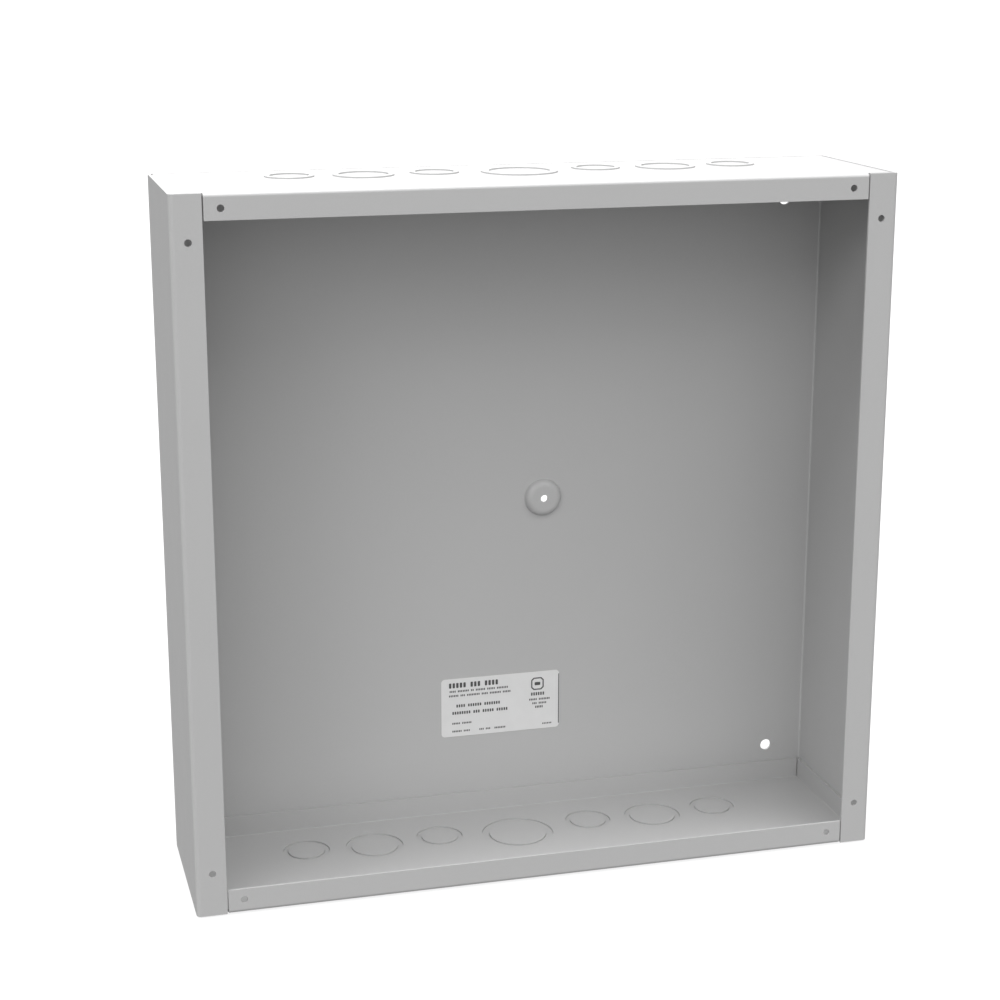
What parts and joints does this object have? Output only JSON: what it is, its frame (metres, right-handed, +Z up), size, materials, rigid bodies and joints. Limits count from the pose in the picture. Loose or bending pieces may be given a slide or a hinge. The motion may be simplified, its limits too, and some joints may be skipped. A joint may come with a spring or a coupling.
{
  "type": "surface-mount electrical enclosure",
  "caption": "Open-front square sheet-steel box for surface mounting, with concentric conduit knockouts top and bottom, a grounding boss and cover-screw flanges.",
  "frame": {"origin": "middle of the back's outer face, which goes against the wall", "axes": "+X right as seen from the front, +Y into the wall, +Z up; the open front faces -Y"},
  "size_m": [0.4096, 0.1048, 0.408],
  "materials": {
    "wrapper_paint": "smooth light grey enamel",
    "end_paint": "smooth light grey enamel",
    "knockout_paint": "smooth light grey enamel",
    "label_film": "printed matt film"
  },
  "bodies": {
    "enclosure": {"wrapper": "wrapper_paint", "top_end": "end_paint", "bottom_end": "end_paint", "rating_label": "label_film"},
    "top_knockout_1_ring": {"top_knockout_1_ring": "knockout_paint"},
    "top_knockout_1_slug": {"top_knockout_1_slug": "knockout_paint"},
    "top_knockout_2_ring": {"top_knockout_2_ring": "knockout_paint"},
    "top_knockout_2_slug": {"top_knockout_2_slug": "knockout_paint"},
    "top_knockout_3_ring": {"top_knockout_3_ring": "knockout_paint"},
    "top_knockout_3_slug": {"top_knockout_3_slug": "knockout_paint"},
    "top_knockout_4_ring": {"top_knockout_4_ring": "knockout_paint"},
    "top_knockout_4_slug": {"top_knockout_4_slug": "knockout_paint"},
    "top_knockout_5_ring": {"top_knockout_5_ring": "knockout_paint"},
    "top_knockout_5_slug": {"top_knockout_5_slug": "knockout_paint"},
    "top_knockout_6_ring": {"top_knockout_6_ring": "knockout_paint"},
    "top_knockout_6_slug": {"top_knockout_6_slug": "knockout_paint"},
    "top_knockout_7_ring": {"top_knockout_7_ring": "knockout_paint"},
    "top_knockout_7_slug": {"top_knockout_7_slug": "knockout_paint"},
    "bottom_knockout_1_ring": {"bottom_knockout_1_ring": "knockout_paint"},
    "bottom_knockout_1_slug": {"bottom_knockout_1_slug": "knockout_paint"},
    "bottom_knockout_2_ring": {"bottom_knockout_2_ring": "knockout_paint"},
    "bottom_knockout_2_slug": {"bottom_knockout_2_slug": "knockout_paint"},
    "bottom_knockout_3_ring": {"bottom_knockout_3_ring": "knockout_paint"},
    "bottom_knockout_3_slug": {"bottom_knockout_3_slug": "knockout_paint"},
    "bottom_knockout_4_ring": {"bottom_knockout_4_ring": "knockout_paint"},
    "bottom_knockout_4_slug": {"bottom_knockout_4_slug": "knockout_paint"},
    "bottom_knockout_5_ring": {"bottom_knockout_5_ring": "knockout_paint"},
    "bottom_knockout_5_slug": {"bottom_knockout_5_slug": "knockout_paint"},
    "bottom_knockout_6_ring": {"bottom_knockout_6_ring": "knockout_paint"},
    "bottom_knockout_6_slug": {"bottom_knockout_6_slug": "knockout_paint"},
    "bottom_knockout_7_ring": {"bottom_knockout_7_ring": "knockout_paint"},
    "bottom_knockout_7_slug": {"bottom_knockout_7_slug": "knockout_paint"}
  },
  "joints": [
    {"name": "top_knockout_1_ring_slide", "type": "slide", "parent": "enclosure", "child": "top_knockout_1_ring", "axis": [0, 0, 1], "range_m": [0, 0.02]},
    {"name": "top_knockout_1_slug_slide", "type": "slide", "parent": "top_knockout_1_ring", "child": "top_knockout_1_slug", "axis": [0, 0, -1], "range_m": [0, 0.02]},
    {"name": "top_knockout_2_ring_slide", "type": "slide", "parent": "enclosure", "child": "top_knockout_2_ring", "axis": [0, 0, 1], "range_m": [0, 0.02]},
    {"name": "top_knockout_2_slug_slide", "type": "slide", "parent": "top_knockout_2_ring", "child": "top_knockout_2_slug", "axis": [0, 0, -1], "range_m": [0, 0.02]},
    {"name": "top_knockout_3_ring_slide", "type": "slide", "parent": "enclosure", "child": "top_knockout_3_ring", "axis": [0, 0, 1], "range_m": [0, 0.02]},
    {"name": "top_knockout_3_slug_slide", "type": "slide", "parent": "top_knockout_3_ring", "child": "top_knockout_3_slug", "axis": [0, 0, -1], "range_m": [0, 0.02]},
    {"name": "top_knockout_4_ring_slide", "type": "slide", "parent": "enclosure", "child": "top_knockout_4_ring", "axis": [0, 0, 1], "range_m": [0, 0.02]},
    {"name": "top_knockout_4_slug_slide", "type": "slide", "parent": "top_knockout_4_ring", "child": "top_knockout_4_slug", "axis": [0, 0, -1], "range_m": [0, 0.02]},
    {"name": "top_knockout_5_ring_slide", "type": "slide", "parent": "enclosure", "child": "top_knockout_5_ring", "axis": [0, 0, 1], "range_m": [0, 0.02]},
    {"name": "top_knockout_5_slug_slide", "type": "slide", "parent": "top_knockout_5_ring", "child": "top_knockout_5_slug", "axis": [0, 0, -1], "range_m": [0, 0.02]},
    {"name": "top_knockout_6_ring_slide", "type": "slide", "parent": "enclosure", "child": "top_knockout_6_ring", "axis": [0, 0, 1], "range_m": [0, 0.02]},
    {"name": "top_knockout_6_slug_slide", "type": "slide", "parent": "top_knockout_6_ring", "child": "top_knockout_6_slug", "axis": [0, 0, -1], "range_m": [0, 0.02]},
    {"name": "top_knockout_7_ring_slide", "type": "slide", "parent": "enclosure", "child": "top_knockout_7_ring", "axis": [0, 0, 1], "range_m": [0, 0.02]},
    {"name": "top_knockout_7_slug_slide", "type": "slide", "parent": "top_knockout_7_ring", "child": "top_knockout_7_slug", "axis": [0, 0, -1], "range_m": [0, 0.02]},
    {"name": "bottom_knockout_1_ring_slide", "type": "slide", "parent": "enclosure", "child": "bottom_knockout_1_ring", "axis": [0, 0, -1], "range_m": [0, 0.02]},
    {"name": "bottom_knockout_1_slug_slide", "type": "slide", "parent": "bottom_knockout_1_ring", "child": "bottom_knockout_1_slug", "axis": [0, 0, 1], "range_m": [0, 0.02]},
    {"name": "bottom_knockout_2_ring_slide", "type": "slide", "parent": "enclosure", "child": "bottom_knockout_2_ring", "axis": [0, 0, -1], "range_m": [0, 0.02]},
    {"name": "bottom_knockout_2_slug_slide", "type": "slide", "parent": "bottom_knockout_2_ring", "child": "bottom_knockout_2_slug", "axis": [0, 0, 1], "range_m": [0, 0.02]},
    {"name": "bottom_knockout_3_ring_slide", "type": "slide", "parent": "enclosure", "child": "bottom_knockout_3_ring", "axis": [0, 0, -1], "range_m": [0, 0.02]},
    {"name": "bottom_knockout_3_slug_slide", "type": "slide", "parent": "bottom_knockout_3_ring", "child": "bottom_knockout_3_slug", "axis": [0, 0, 1], "range_m": [0, 0.02]},
    {"name": "bottom_knockout_4_ring_slide", "type": "slide", "parent": "enclosure", "child": "bottom_knockout_4_ring", "axis": [0, 0, -1], "range_m": [0, 0.02]},
    {"name": "bottom_knockout_4_slug_slide", "type": "slide", "parent": "bottom_knockout_4_ring", "child": "bottom_knockout_4_slug", "axis": [0, 0, 1], "range_m": [0, 0.02]},
    {"name": "bottom_knockout_5_ring_slide", "type": "slide", "parent": "enclosure", "child": "bottom_knockout_5_ring", "axis": [0, 0, -1], "range_m": [0, 0.02]},
    {"name": "bottom_knockout_5_slug_slide", "type": "slide", "parent": "bottom_knockout_5_ring", "child": "bottom_knockout_5_slug", "axis": [0, 0, 1], "range_m": [0, 0.02]},
    {"name": "bottom_knockout_6_ring_slide", "type": "slide", "parent": "enclosure", "child": "bottom_knockout_6_ring", "axis": [0, 0, -1], "range_m": [0, 0.02]},
    {"name": "bottom_knockout_6_slug_slide", "type": "slide", "parent": "bottom_knockout_6_ring", "child": "bottom_knockout_6_slug", "axis": [0, 0, 1], "range_m": [0, 0.02]},
    {"name": "bottom_knockout_7_ring_slide", "type": "slide", "parent": "enclosure", "child": "bottom_knockout_7_ring", "axis": [0, 0, -1], "range_m": [0, 0.02]},
    {"name": "bottom_knockout_7_slug_slide", "type": "slide", "parent": "bottom_knockout_7_ring", "child": "bottom_knockout_7_slug", "axis": [0, 0, 1], "range_m": [0, 0.02]}
  ]
}
